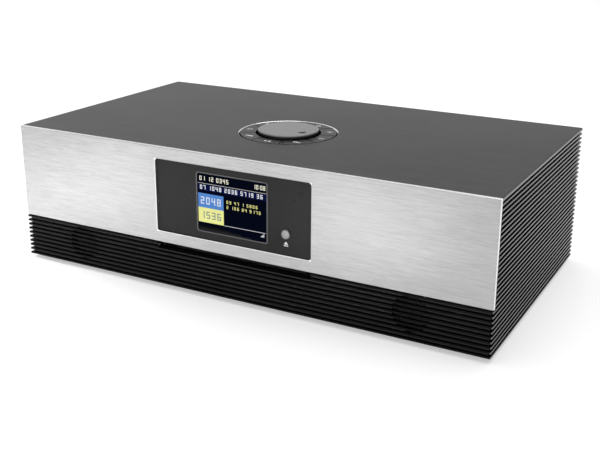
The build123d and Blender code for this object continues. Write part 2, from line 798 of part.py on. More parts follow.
thread_pitch = 3.0
with BuildPart() as lead_screw:
    screw_front = bay_front + 0.3
    screw_rear = bay_rear - 0.3
    post(facing_back(screw_x, screw_front, rod_z), screw_radius, screw_rear - screw_front)
    groove_count = int((screw_rear - screw_front) / thread_pitch) - 1
    with BuildSketch(Plane(origin=(screw_x, 0, rod_z), x_dir=(1, 0, 0), z_dir=(0, 0, 1))) as grooves:
        for turn in range(groove_count):
            with Locations((screw_radius, screw_front + thread_pitch * (turn + 1))):
                Rectangle(0.6, 1.0)
    revolve(grooves.sketch, axis=Axis((screw_x, 0, rod_z), (0, 1, 0)), mode=Mode.SUBTRACT)
    post(facing_back(screw_x, motor_face - 8, rod_z), journal_radius, screw_front - motor_face + 8)
finish(lead_screw, "lead_screw")

# ---- electronics ----

# Main board with its processor cans and connectors.
main_left = -74.0
main_right = 122.0
main_front = 54.0
main_rear = rear_face - sheet - 1.0
main_top = board_z + board_thickness
with BuildPart() as main_board:
    block(main_left, main_right, main_front, main_rear, board_z, main_top)
    block(-8, 12, 64, 84, main_top, main_top + 1.2)
    block(70, 84, 60, 74, main_top, main_top + 1.5)
    block(-11, 11, main_front + 2, main_front + 6, main_top, main_top + 5)
    for x in (main_left + 5, main_right - 5):
        for y in (main_front + 5, main_rear - 5):
            post(upright(x, y, tray_top), 3.0, board_z - tray_top)
finish(main_board, "main_board")

# Heat sink for the amplifier: a finned bar beside the main board.
sink_left = 128.0
sink_front = 34.0
sink_rear = 92.0
sink_base = 6.0
sink_height = 34.0
fin_count = 10
fin_pitch = 6.0
fin_thickness = 2.0
with BuildPart() as heat_sink:
    sink_right = sink_left + (fin_count - 1) * fin_pitch + fin_thickness
    block(sink_left, sink_right, sink_front, sink_rear, tray_top, tray_top + sink_base)
    for fin in range(fin_count):
        fin_left = sink_left + fin * fin_pitch
        block(
            fin_left, fin_left + fin_thickness, sink_front, sink_rear,
            tray_top + sink_base, tray_top + sink_height,
        )
finish(heat_sink, "heat_sink")

# Tuner: a tinned can on the main board, with the threaded antenna socket on it.
can_front = main_rear - 38
with BuildPart() as tuner_module:
    block(tuner_x - 18, tuner_x + 18, can_front, rear_face - sheet, main_top, main_top + 18)
    post(facing_back(tuner_x, rear_face - sheet, antenna_z), antenna_radius - neck_inset, sheet)
    post(facing_back(tuner_x, rear_face, antenna_z), antenna_radius, pin_length)
    post(facing_back(tuner_x, rear_face - 4, antenna_z), contact_bore, pin_length + 4, Mode.SUBTRACT)
finish(tuner_module, "tuner_module")

# Power supply board with a ring-core transformer and its capacitors.
power_left = -192.0
power_right = -82.0
power_front = -10.0
transformer_x = -139.0
transformer_y = 32.0
transformer_radius = 38.0
core_height = 34.0
core_hole = 12.0
winding_round = 6.0
with BuildPart() as power_board:
    block(power_left, power_right, power_front, main_rear, board_z, main_top)
    for x in (power_left + 5, power_right - 5):
        for y in (power_front + 5, main_rear - 5):
            post(upright(x, y, tray_top), 3.0, board_z - tray_top)
    block(-104, -88, 60, 90, main_top, main_top + 22)
finish(power_board, "power_board")

with BuildPart() as transformer:
    post(upright(transformer_x, transformer_y, main_top), transformer_radius, core_height)
    post(upright(transformer_x, transformer_y, main_top), core_hole, core_height, Mode.SUBTRACT)
    fillet(transformer.edges().filter_by(GeomType.CIRCLE), winding_round)
    # the bolt through the middle and the dished washer it holds down
    post(upright(transformer_x, transformer_y, main_top + 1), 3.0, core_height + 4)
    post(upright(transformer_x, transformer_y, main_top + core_height), 20.0, 1.5)
finish(transformer, "transformer")

# Capacitors: four cans beside the transformer.
can_radius = 5.0
can_height = 25.0
with BuildPart() as capacitors:
    for x in (-128, -116):
        for y in (80, 92):
            post(upright(x, y, main_top), can_radius, can_height)
    chamfer(capacitors.edges().filter_by(GeomType.CIRCLE).group_by(Axis.Z)[-1], 0.6)
finish(capacitors, "capacitors")

# Mains inlet: a two-pin recess for a detachable lead.
recess_half_width = 7.9
recess_half_height = 4.2
recess_depth = 12.0
mains_front = rear_face - 18
pin_spacing = 8.6
with BuildPart() as mains_inlet:
    block(
        mains_x - mains_width / 2, mains_x + mains_width / 2, mains_front, rear_face + 1,
        mains_z - mains_height / 2, mains_z + mains_height / 2,
    )
    block(
        mains_x - recess_half_width, mains_x + recess_half_width, rear_face + 1 - recess_depth, rear_face + 1,
        mains_z - recess_half_height, mains_z + recess_half_height, Mode.SUBTRACT,
    )
    for side in (-1, 1):
        post(
            facing_back(mains_x + side * pin_spacing / 2, rear_face + 1 - recess_depth, mains_z), 1.2, 9.5
        )
finish(mains_inlet, "mains_inlet")

# Network socket: a metal box open to the rear.
mouth_half_width = 6.0
mouth_half_height = 4.4
mouth_depth = 13.0
mouth_face = rear_face + 0.5
with BuildPart() as network_socket:
    block(
        network_x - network_width / 2, network_x + network_width / 2, rear_face - 20, mouth_face,
        network_z - network_height / 2, network_z + network_height / 2,
    )
    block(
        network_x - mouth_half_width, network_x + mouth_half_width, mouth_face - mouth_depth, mouth_face,
        network_z - mouth_half_height, network_z + mouth_half_height, Mode.SUBTRACT,
    )
finish(network_socket, "network_socket")

# Line sockets: two rows of two phono sockets on a moulded block.
with BuildPart() as line_sockets:
    block(
        line_x - line_pitch, line_x + line_pitch, rear_face - sheet - 12, rear_face - sheet,
        main_top, line_z_low + line_pitch + 7,
    )
    for column in (-0.5, 0.5):
        for row in (0, 1):
            socket_x = line_x + column * line_pitch
            socket_z = line_z_low + row * line_pitch
            post(facing_back(socket_x, rear_face - sheet, socket_z), line_radius - neck_inset, sheet)
            post(facing_back(socket_x, rear_face, socket_z), line_radius, pin_length)
            post(
                facing_back(socket_x, rear_face - sheet - 6, socket_z), contact_bore, pin_length + sheet + 6,
                Mode.SUBTRACT,
            )
finish(line_sockets, "line_sockets")

# ---- speakers ----

flange_front = front + rib_depth + wall_behind_ribs + 0.2
flange_back = flange_front + 2.0
basket_back = flange_back + 9.0
magnet_back = basket_back + 10.0
magnet_radius = 12.0
pole_radius = 4.2
coil_inner = 4.5
coil_outer = 4.9
gap_outer = 5.3
cone_edge = 11.6
cone_neck = 5.0


def speaker_plane(side):
    """Half-section plane of a speaker: its own X is the radius, its own Y runs back."""
    return Plane(origin=(side * speaker_x, 0, speaker_z), x_dir=(1, 0, 0), z_dir=(0, 0, 1))


def speaker_axis(side):
    """Axis of a speaker."""
    return Axis((side * speaker_x, 0, speaker_z), (0, 1, 0))


# Baskets, each with its magnet and pole.
with BuildPart() as speaker_baskets:
    for side in (-1, 1):
        with BuildSketch(speaker_plane(side)) as basket_section:
            with BuildLine():
                Polyline(
                    (14.2, flange_front), (speaker_flange, flange_front), (speaker_flange, flange_back),
                    (14.4, flange_back), (12.0, basket_back), (magnet_radius, magnet_back),
                    (0, magnet_back), (0, flange_back + 7.0), (pole_radius, flange_back + 7.0),
                    (pole_radius, magnet_back - 2.0), (gap_outer, magnet_back - 2.0),
                    (gap_outer, basket_back), (10.8, basket_back), (13.4, flange_back),
                    (14.2, flange_front + 0.6), close=True,
                )
            make_face()
        revolve(basket_section.sketch, axis=speaker_axis(side))
finish(speaker_baskets, "speaker_baskets")

# Surrounds: rubber half-rolls fixed to the baskets, just clear of the cones.
with BuildPart() as speaker_surrounds:
    for side in (-1, 1):
        with BuildSketch(speaker_plane(side)) as roll:
            with Locations((13.0, flange_front + 0.9)):
                Circle(1.0)
                Circle(0.6, mode=Mode.SUBTRACT)
            with Locations((13.0, flange_front + 2.0)):
                Rectangle(3.0, 2.2, mode=Mode.SUBTRACT)
        revolve(roll.sketch, axis=speaker_axis(side))
finish(speaker_surrounds, "speaker_surrounds")

# Cones with their voice coils and dust caps.
cone_front = flange_front + 1.2
cone_back = cone_front + 5.4
for side, name in ((-1, "left_speaker_cone"), (1, "right_speaker_cone")):
    with BuildPart() as speaker_cone:
        with BuildSketch(speaker_plane(side)) as cone_section:
            with BuildLine():
                Polyline(
                    (cone_edge, cone_front), (cone_neck, cone_back - 0.5), (0, cone_back - 2.3),
                    (0, cone_back - 1.8), (coil_inner, cone_back + 0.2),
                    (coil_inner, magnet_back - 4.0), (coil_outer, magnet_back - 4.0),
                    (coil_outer, cone_back + 0.2), (cone_neck + 0.2, cone_back),
                    (cone_edge, cone_front + 0.5), close=True,
                )
            make_face()
        revolve(cone_section.sketch, axis=speaker_axis(side))
    finish(speaker_cone, name)

# Chambers: a closed box behind each speaker.
chamber_wall = 2.5
chamber_inner_x = 112.0
chamber_outer_x = 195.0
chamber_back = -18.0
chamber_bottom = tray_top + 0.2
chamber_height = foot_height + 98.0
with BuildPart() as speaker_chambers:
    for side in (-1, 1):
        left = min(side * chamber_inner_x, side * chamber_outer_x)
        right = max(side * chamber_inner_x, side * chamber_outer_x)
        block(left, right, flange_back, chamber_back, chamber_bottom, chamber_height)
        block(
            left + chamber_wall, right - chamber_wall,
            flange_back + chamber_wall, chamber_back - chamber_wall,
            chamber_bottom + chamber_wall, chamber_height - chamber_wall, Mode.SUBTRACT,
        )
        post(facing_back(side * speaker_x, flange_back, speaker_z), 14.6, chamber_wall, Mode.SUBTRACT)
finish(speaker_chambers, "speaker_chambers")

# ---- internal leads ----

# Flat ribbon from the display board over the loader to the main board.
ribbon_half_width = 9.0
ribbon_thickness = 0.4
ribbon_level = guide_top + 3.2
ribbon_end = main_top + 5.2
with BuildPart() as display_ribbon:
    with BuildSketch(Plane.YZ.offset(-ribbon_half_width)):
        with BuildLine():
            FilletPolyline(
                (board_back + 2.7, foot_height + 49), (board_back + 10, foot_height + 49),
                (board_back + 10, ribbon_level), (main_front + 4, ribbon_level),
                (main_front + 4, ribbon_end), radius=2.5,
            )
        trace(line_width=ribbon_thickness)
    extrude(amount=2 * ribbon_half_width)
finish(display_ribbon, "display_ribbon")

# A pair of leads from each chamber to the main board, clipped along the base.
lead_radius = 1.3
lead_height = tray_top + 3.0
lead_run_y = main_front - 2.2
with BuildPart() as speaker_leads:
    for side, end_x in ((-1, main_left + 12), (1, main_right - 12)):
        with BuildLine() as route:
            FilletPolyline(
                (side * (chamber_inner_x - 0.2), chamber_back - 12, lead_height),
                (side * (chamber_inner_x - 20), chamber_back - 12, lead_height),
                (side * (chamber_inner_x - 20), lead_run_y, lead_height),
                (end_x, lead_run_y, lead_height),
                (end_x, lead_run_y, main_top + 4),
                (end_x, main_front + 3, main_top + 4),
                radius=4.0,
            )
        with BuildSketch(Plane(origin=route.line @ 0, z_dir=route.line % 0)) as lead_section:
            Circle(lead_radius)
        sweep(lead_section.sketch, path=route.line)
finish(speaker_leads, "speaker_leads")
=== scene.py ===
from math import cos, pi, radians, sin

import bmesh
import bpy
from mathutils import Matrix, Vector


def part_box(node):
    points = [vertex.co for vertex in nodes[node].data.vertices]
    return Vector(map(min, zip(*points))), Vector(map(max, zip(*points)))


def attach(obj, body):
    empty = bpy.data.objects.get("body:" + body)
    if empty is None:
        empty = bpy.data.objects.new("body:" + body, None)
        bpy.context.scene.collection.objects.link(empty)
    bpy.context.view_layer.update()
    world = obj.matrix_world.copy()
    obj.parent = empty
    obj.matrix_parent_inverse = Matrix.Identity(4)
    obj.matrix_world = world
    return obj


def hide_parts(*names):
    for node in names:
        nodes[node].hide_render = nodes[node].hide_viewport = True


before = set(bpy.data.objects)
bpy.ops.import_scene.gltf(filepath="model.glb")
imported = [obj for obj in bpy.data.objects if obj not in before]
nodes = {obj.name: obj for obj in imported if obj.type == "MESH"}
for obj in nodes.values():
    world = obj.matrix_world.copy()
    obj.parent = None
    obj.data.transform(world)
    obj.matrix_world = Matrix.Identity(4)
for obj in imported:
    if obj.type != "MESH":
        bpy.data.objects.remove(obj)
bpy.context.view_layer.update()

# The studio: a pale floor, an even white room, and soft boxes that put the long gradient
# and the diagonal glow on the fascia. The camera stands at the right front and looks down.
EYE = Vector((0.3682, -0.6852, 0.3025))
EYE_TURN = radians(28.53)
EYE_TILT = radians(17.51)
EYE_ROLL = radians(0.30)
ROOM_STRENGTH = 0.95
ROOM_SHADE = (-0.22, -0.15, -0.25)
FLOOR_HALF = 9.0
FLOOR_GREY = (0.6, 0.6, 0.6, 1)
FLOOR_GLOW = 0.42

back = Vector((sin(EYE_TURN) * cos(EYE_TILT), -cos(EYE_TURN) * cos(EYE_TILT), sin(EYE_TILT)))
level = Vector((0, 0, 1)).cross(back).normalized()
turned = cos(EYE_ROLL) * level + sin(EYE_ROLL) * back.cross(level)
camera = bpy.data.objects.new("camera", bpy.data.cameras.new("camera"))
camera.data.lens = 57.64
camera.data.sensor_width = 36.0
camera.data.shift_x = 0.0053
camera.data.shift_y = -0.0495
camera.data.clip_start = 0.01
axes = Matrix((turned, back.cross(turned), back)).transposed()
camera.matrix_world = Matrix.Translation(EYE) @ axes.to_4x4()
bpy.context.scene.collection.objects.link(camera)
bpy.context.scene.camera = camera
bpy.context.scene.view_settings.view_transform = "Standard"

room = bpy.data.worlds.new("room")
room.use_nodes = True
bpy.context.scene.world = room
room_tree = room.node_tree
walls = room_tree.nodes["Background"]
walls.inputs["Color"].default_value = (1.0, 1.0, 1.0, 1.0)
facing = room_tree.nodes.new("ShaderNodeTexCoord")
shade = room_tree.nodes.new("ShaderNodeVectorMath")
shade.operation = "DOT_PRODUCT"
shade.inputs[1].default_value = ROOM_SHADE
bright = room_tree.nodes.new("ShaderNodeMath")
bright.operation = "ADD"
bright.inputs[1].default_value = ROOM_STRENGTH
room_tree.links.new(facing.outputs["Generated"], shade.inputs[0])
room_tree.links.new(shade.outputs["Value"], bright.inputs[0])
room_tree.links.new(bright.outputs["Value"], walls.inputs["Strength"])


def soft_box(name, place, aim, size, power, roll=0, spread=180):
    """A rectangular studio light at a place, aimed at a point. Angles are in degrees."""
    lamp = bpy.data.lights.new(name, "AREA")
    lamp.shape = "RECTANGLE"
    lamp.size, lamp.size_y = size
    lamp.energy = power
    lamp.spread = radians(spread)
    item = bpy.data.objects.new(name, lamp)
    turn = (Vector(place) - Vector(aim)).to_track_quat("Z", "Y").to_matrix().to_4x4()
    item.matrix_world = Matrix.Translation(place) @ turn @ Matrix.Rotation(radians(roll), 4, "Z")
    bpy.context.scene.collection.objects.link(item)


soft_box("top_box", (0.3, 0.2, 1.9), (0.1, 0, 0.1), size=(2.4, 2.0), power=24)
soft_box("left_box", (-0.42, -0.45, 0.55), (-0.30, -0.30, 0), size=(0.24, 0.18), power=0.62, spread=42)
soft_box(
    "glow_box", (0.0, -0.40, 0.45), (0.01, -0.34, 0), size=(0.04, 0.16), power=0.34, roll=-30, spread=18
)

floor_mesh = bmesh.new()
bmesh.ops.create_grid(floor_mesh, x_segments=1, y_segments=1, size=FLOOR_HALF)
floor = bpy.data.objects.new("studio_floor", bpy.data.meshes.new("studio_floor"))
floor_mesh.to_mesh(floor.data)
floor_mesh.free()
pale = bpy.data.materials.new("pale_floor")
pale.use_nodes = True
paint = pale.node_tree.nodes["Principled BSDF"].inputs
paint["Base Color"].default_value = FLOOR_GREY
paint["Roughness"].default_value = 0.9
paint["Emission Color"].default_value = (1, 1, 1, 1)
paint["Emission Strength"].default_value = FLOOR_GLOW
floor.data.materials.append(pale)
bpy.context.scene.collection.objects.link(floor)


# The fascia: an aluminium plate, brushed along its width and clear anodised. Its edges and
# the rim of its window are bevelled after brushing, and it is fixed from behind. The bevels
# carry a painted highlight, near white.
class Wire:
    """One output of a shader node, which takes part in sums."""

    def __init__(self, finish, socket):
        self.finish = finish
        self.socket = socket

    def worked(self, operation, *values):
        return self.finish.add("ShaderNodeMath", {"operation": operation}, dict(enumerate(values)))

    def __add__(self, other):
        return self.worked("ADD", self, other)

    def __sub__(self, other):
        return self.worked("SUBTRACT", self, other)

    def __rsub__(self, other):
        return self.worked("SUBTRACT", other, self)

    def __mul__(self, other):
        return self.worked("MULTIPLY", self, other)

    def __gt__(self, other):
        return self.worked("GREATER_THAN", self, other)

    def __lt__(self, other):
        return self.worked("LESS_THAN", self, other)

    def __abs__(self):
        return self.worked("ABSOLUTE", self)

    __radd__ = __add__
    __rmul__ = __mul__


class Finish:
    """A material: its Principled shader, with one way to add any other node."""

    def __init__(self, name, **constants):
        self.material = bpy.data.materials.new(name)
        self.material.use_nodes = True
        self.tree = self.material.node_tree
        self.shader = self.tree.nodes["Principled BSDF"]
        for socket, value in constants.items():
            self.shader.inputs[socket.replace("_", " ")].default_value = value

    def add(self, kind, settings=None, sockets=None, output=0):
        node = self.tree.nodes.new(kind)
        for name, value in (settings or {}).items():
            setattr(node, name, value)
        for key, value in (sockets or {}).items():
            self.feed(node.inputs[key], value)
        return Wire(self, node.outputs[output])

    def feed(self, socket, value):
        if isinstance(value, Wire):
            self.tree.links.new(value.socket, socket)
        else:
            socket.default_value = value

    def drive(self, socket, value):
        self.feed(self.shader.inputs[socket], value)

    def place(self, scale=(1, 1, 1), start=(0, 0, 0)):
        """The piece's own coordinates in metres, scaled, then moved."""
        spot = self.add("ShaderNodeTexCoord", output="Object")
        return self.add("ShaderNodeMapping", {}, {"Vector": spot, "Location": start, "Scale": scale})

    def axis(self, index):
        """One of the piece's own coordinates."""
        return self.add("ShaderNodeSeparateXYZ", {}, {0: self.place()}, output=index)

    def distance(self, centre, keep=(1, 1, 1)):
        """Distance from a point, or from a line where an axis isn't kept."""
        target = tuple(value * kept for value, kept in zip(centre, keep))
        sockets = {0: self.place(keep), 1: target}
        return self.add("ShaderNodeVectorMath", {"operation": "DISTANCE"}, sockets, output="Value")

    def noise(self, scale, detail=3.0, roughness=0.5, start=(0, 0, 0)):
        """Noise with its own scale along each axis, per metre."""
        spot = self.place(scale, start)
        sockets = {"Vector": spot, "Scale": 1.0, "Detail": detail, "Roughness": roughness}
        return self.add("ShaderNodeTexNoise", {}, sockets)

    def between(self, factor, first, second):
        """A colour between two colours."""
        sockets = {0: factor, 6: first, 7: second}
        return self.add("ShaderNodeMix", {"data_type": "RGBA"}, sockets, output=2)

    def spread(self, value, low, high):
        """A value from 0 to 1, spread from low to high."""
        return value * (high - low) + low

    def bump(self, height, distance, strength=1.0):
        sockets = {"Height": height, "Distance": distance, "Strength": strength}
        self.drive("Normal", self.add("ShaderNodeBump", {}, sockets))


def grey(level):
    return (level, level, level, 1.0)


GLOSS_SPREAD = 0.08
SCRATCH_DEPTH = 0.00002


def brushed(name, shade, rough, contrast, along=0, accents=(), **constants):
    """Metal brushed along an axis. Each accent is a mask, and its grey and roughness there."""
    finish = Finish(name, Metallic=1.0, **constants)

    def streaks(across, lengthwise, detail, start):
        """Long thin noise, with so many streaks to the metre across and along the brushing."""
        scale = [across] * 3
        scale[along] = lengthwise
        return finish.noise(scale, detail, 0.55, start)

    fine = streaks(2600, 150, 2.0, (0, 0, 0))
    long = streaks(900, 55, 3.0, (3, 1, 2))
    broad = streaks(300, 20, 3.0, (5, 2, 7))
    cloud = finish.noise((9, 14, 14), 2.0, start=(1, 5, 0))
    streak = fine * 0.8 + long * 1.1 + broad * 0.5 + cloud * 0.4 - 0.9
    colour = finish.between(streak, grey(shade * (1 - contrast)), grey(shade * (1 + contrast)))
    dull = finish.spread(long * 0.6 + fine * 0.4, rough - GLOSS_SPREAD, rough + GLOSS_SPREAD)
    for mask_of, level, dull_there in accents:
        mask = mask_of(finish)
        colour = finish.between(mask, colour, grey(level))
        dull = dull * (1.0 - mask) + mask * dull_there
    finish.drive("Base Color", colour)
    finish.drive("Roughness", dull)
    finish.bump(fine * 0.6 + long * 0.4, SCRATCH_DEPTH, 0.35)
    return finish


def wear(finish, *names):
    """Gives CAD nodes a finish."""
    for name in names:
        nodes[name].data.materials.clear()
        nodes[name].data.materials.append(finish.material)


EDGE_BEVEL = 0.0008
HIGHLIGHT_BAND = EDGE_BEVEL / 2
HIGHLIGHT_SHARE = 0.7
WINDOW_BEVEL = 0.0004
WINDOW_HALF = 0.068
WINDOW_LOW = 0.0486
WINDOW_HIGH = 0.1071
fascia_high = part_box("front_fascia")[1]


def fascia_edge_highlights(finish):
    """Painted highlight on the bevels: along the top, down both ends and round the window."""
    x = abs(finish.axis(0))
    z = finish.axis(2)
    above = z > WINDOW_LOW - WINDOW_BEVEL
    below = z < WINDOW_HIGH + WINDOW_BEVEL
    rim = (x < WINDOW_HALF + WINDOW_BEVEL) * above * below
    ends = (x > fascia_high.x - HIGHLIGHT_BAND) * HIGHLIGHT_SHARE
    top = (z > fascia_high.z - HIGHLIGHT_BAND) * HIGHLIGHT_SHARE
    return rim + ends + top


# The bevels' near-white grey is a painted highlight, at part strength on the ends and the top.
clear_anodised = brushed("fascia_finish", 0.42, 0.34, 0.21, accents=[(fascia_edge_highlights, 0.95, 0.25)])
wear(clear_anodised, "front_fascia")

# The lid: an aluminium plate, brushed and dyed anthracite. Its edges are cut after it is
# dyed, so the bevel round the dial is bare metal, painted near white with a painted highlight
# on it. The bevels at both ends carry a painted highlight, a lighter grey.
RING_OUTER = 0.0397
lid_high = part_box("top_plate")[1]
dial_low, dial_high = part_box("jog_dial")
dial_centre = (dial_low + dial_high) / 2
UPRIGHT_LINE = (1, 1, 0)


def lid_end_highlights(finish):
    """The bevels at both ends, painted a lighter grey as a highlight."""
    return abs(finish.axis(0)) > lid_high.x - HIGHLIGHT_BAND


def dial_rim(finish):
    """The bevel round the dial's hole: bare metal, painted near white with a highlight."""
    return finish.distance(dial_centre, UPRIGHT_LINE) < RING_OUTER + EDGE_BEVEL


# Painted highlights on the bevels: light grey at the ends, near white round the dial.
bevels_bare_and_highlit = [(lid_end_highlights, 0.25, 0.3), (dial_rim, 0.9, 0.25)]
dyed = brushed("lid_finish", 0.065, 0.34, 0.65, accents=bevels_bare_and_highlit, Specular_Tint=grey(0.73))
wear(dyed, "top_plate")


# The side panels: extruded aluminium walls with thirty ribs each, black anodised. The
# lower ribs are mitred to the lower front, and the upper ones end behind the fascia.
def shown(name, mesh, finish, body, replaced=(), soft=35):
    """Makes a mesh a piece that rides on a CAD body. Edges under the soft angle are smooth."""
    bmesh.ops.recalc_face_normals(mesh, faces=mesh.faces)
    for edge in mesh.edges:
        edge.smooth = edge.calc_face_angle(0) < radians(soft)
    for face in mesh.faces:
        face.smooth = True
    data = bpy.data.meshes.new(name)
    mesh.to_mesh(data)
    mesh.free()
    data.materials.append(finish.material)
    item = bpy.data.objects.new(name, data)
    bpy.context.scene.collection.objects.link(item)
    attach(item, body)
    for node in replaced:
        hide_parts(node)


def of_kind(items, kind):
    """The faces, or the vertices, among the items that an operator made."""
    return [item for item in items if isinstance(item, kind)]


def swept(mesh, section, stations, place):
    """Carries a section through stations by extrusion. place gives a corner at a station."""

    def key(spot):
        return tuple(round(value, 7) for value in spot)

    face = mesh.faces.new([mesh.verts.new(place(stations[0], point)) for point in section])
    for here, station in zip(stations, stations[1:]):
        made = bmesh.ops.extrude_face_region(mesh, geom=[face])["geom"]
        face = of_kind(made, bmesh.types.BMFace)[0]
        corners = {key(place(here, point)): point for point in section}
        for corner in face.verts:
            corner.co = place(station, corners[key(corner.co)])


def soften_rims(mesh, on_rim):
    """Rounds the long edges whose ends both lie on the ribs' outer faces."""
    rims = [
        edge for edge in mesh.edges
        if edge.calc_length() > LONG_EDGE and all(on_rim(corner.co) for corner in edge.verts)
    ]
    bmesh.ops.bevel(
        mesh, geom=rims, offset=RIM_ROUND, offset_type="OFFSET", segments=2, profile=0.5,
        affect="EDGES", material=-1, clamp_overlap=True,
    )


HALF_WIDTH = 0.205
FRONT = -0.112
CABINET_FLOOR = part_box("left_side_panel")[0].z
FASCIA_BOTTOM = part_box("front_fascia")[0].z
FASCIA_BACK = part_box("front_fascia")[1].y
RIB_COUNT = 30
RIB_PITCH = 0.0037
RIB_FIRST = 0.0009
RIB_DEPTH = 0.0023
RIB_FOOT = 0.00106
RIB_LAND = 0.0007
RIM_ROUND = 0.00025
LONG_EDGE = 0.05
WALL = 0.0022
CORNER_CUT = 0.0003
MITRE_BAND = 0.0007
HAIR = 0.00001


def rib_section(index):
    """A rib's section: how far it stands out of the wall, and its height in the cabinet."""
    middle = CABINET_FLOOR + RIB_FIRST + index * RIB_PITCH
    low = max(middle - RIB_FOOT, CABINET_FLOOR)
    land_low = max(middle - RIB_LAND, low)
    return [(0, low), (RIB_DEPTH, land_low), (RIB_DEPTH, middle + RIB_LAND), (0, middle + RIB_FOOT)]


def side_corner(side):
    """Where a side rib's corner lies at a station: rear end, fascia, or mitre."""

    def place(station, point):
        out, z = point
        x = HALF_WIDTH - RIB_DEPTH + out
        if station == "mitre":
            x -= CORNER_CUT if out else 0
            y = FRONT + HALF_WIDTH - x
        elif station == "near_mitre":
            y = FRONT + HALF_WIDTH - x + 2 * CORNER_CUT
        else:
            y = station
        return Vector((side * x, y, z))

    return place


def mitre_cut(finish):
    """A lighter grey band along the cut at the lower front corners."""
    low = finish.axis(2) < FASCIA_BOTTOM
    return (abs(finish.axis(0)) - finish.axis(1) > HALF_WIDTH - FRONT - MITRE_BAND) * low


lighter_mitre_band = (mitre_cut, 0.14, 0.3)
extruded = brushed("ribbed_finish_sides", 0.018, 0.22, 0.45, along=1, accents=[lighter_mitre_band])
rear, wall_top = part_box("right_side_panel")[1].yz
for side, name in ((-1, "left_side_panel"), (1, "right_side_panel")):
    mesh = bmesh.new()
    place = side_corner(side)
    for index in range(RIB_COUNT):
        section = rib_section(index)
        below_fascia = section[-1][1] < FASCIA_BOTTOM
        front_end = ("near_mitre", "mitre") if below_fascia else (FASCIA_BACK,)
        swept(mesh, section, (rear,) + front_end, place)
    soften_rims(mesh, lambda spot: abs(spot.x) > HALF_WIDTH - HAIR)
    sheets = ((CABINET_FLOOR, FASCIA_BOTTOM, "mitre"), (FASCIA_BOTTOM, wall_top, FASCIA_BACK))
    for low, high, end in sheets:
        swept(mesh, [(-WALL, low), (0, low), (0, high), (-WALL, high)], (rear, end), place)
    shown(name + "_shown", mesh, extruded, "cabinet", [name], soft=0)

# The lower front: the same extrusion across the cabinet, mitred at both ends. The disc slot
# is milled through its top two ribs, and its wall is bored through before each speaker.
SLOT_HALF = 0.0675
SLOT_BOTTOM = 0.0342
WHOLE_RIBS = 8
CUT_RIBS = (8, 9)
GRILLE_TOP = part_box("lower_front_grille")[1].z
HOLE_X = 0.1456
HOLE_Z = 0.0235
HOLE_RADIUS = 0.014
HOLE_SIDES = 64
GROOVE_LIGHT_BAND = 0.0003


def front_corner(station, point):
    """Where a front rib's corner lies at a station: a plain x, or the mitre at an end."""
    out, z = point
    y = FRONT + RIB_DEPTH - out
    if isinstance(station, tuple):
        side, part = station
        if part == "mitre":
            y += CORNER_CUT if out else 0
            x = side * (HALF_WIDTH - (y - FRONT))
        else:
            x = side * (HALF_WIDTH - (y - FRONT) - 2 * CORNER_CUT)
    else:
        x = station
    return Vector((x, y, z))


left_end = ((-1, "mitre"), (-1, "near"))
right_end = ((1, "near"), (1, "mitre"))
mesh = bmesh.new()
for index in range(WHOLE_RIBS):
    swept(mesh, rib_section(index), left_end + right_end, front_corner)
for index in CUT_RIBS:
    swept(mesh, rib_section(index), left_end + (-SLOT_HALF,), front_corner)
    swept(mesh, rib_section(index), (SLOT_HALF,) + right_end, front_corner)
halved = rib_section(CUT_RIBS[0])[:2] + [(RIB_DEPTH, SLOT_BOTTOM), (0, SLOT_BOTTOM)]
swept(mesh, halved, (-SLOT_HALF, SLOT_HALF), front_corner)
soften_rims(mesh, lambda spot: spot.y < FRONT + HAIR)

wall_front = FRONT + RIB_DEPTH
end_x = HALF_WIDTH - RIB_DEPTH
outline = [
    (-end_x, CABINET_FLOOR), (end_x, CABINET_FLOOR), (end_x, GRILLE_TOP), (SLOT_HALF, GRILLE_TOP),
    (SLOT_HALF, SLOT_BOTTOM), (-SLOT_HALF, SLOT_BOTTOM), (-SLOT_HALF, GRILLE_TOP), (-end_x, GRILLE_TOP),
]
loops = [outline]
turns = [2 * pi * step / HOLE_SIDES for step in range(HOLE_SIDES)]
circle = [(HOLE_RADIUS * cos(turn), HOLE_Z + HOLE_RADIUS * sin(turn)) for turn in turns]
for middle in (-HOLE_X, HOLE_X):
    loops.append([(middle + x, z) for x, z in circle])
edges = []
for loop in loops:
    ring = [mesh.verts.new((x, wall_front, z)) for x, z in loop]
    edges += [mesh.edges.new((ring[step - 1], ring[step])) for step in range(len(ring))]
filled = bmesh.ops.triangle_fill(mesh, use_beauty=True, edges=edges)["geom"]
sheet = of_kind(filled, bmesh.types.BMFace)
made = bmesh.ops.extrude_face_region(mesh, geom=sheet)["geom"]
for corner in of_kind(made, bmesh.types.BMVert):
    corner.co.y += WALL
    if abs(corner.co.x) > end_x - HAIR:
        corner.co.x -= WALL if corner.co.x > 0 else -WALL


def groove_floor_light(finish):
    """The floors between the ribs, painted lighter as light that reaches into them."""
    return finish.axis(1) > wall_front - GROOVE_LIGHT_BAND


# The accent paints the floors between the ribs lighter, as painted light.
across = brushed("ribbed_finish_front", 0.010, 0.36, 0.45, accents=[(groove_floor_light, 0.05, 0.5), lighter_mitre_band])
replaced = ["lower_front_grille"]
shown("lower_front_shown", mesh, across, "cabinet", replaced, soft=0)

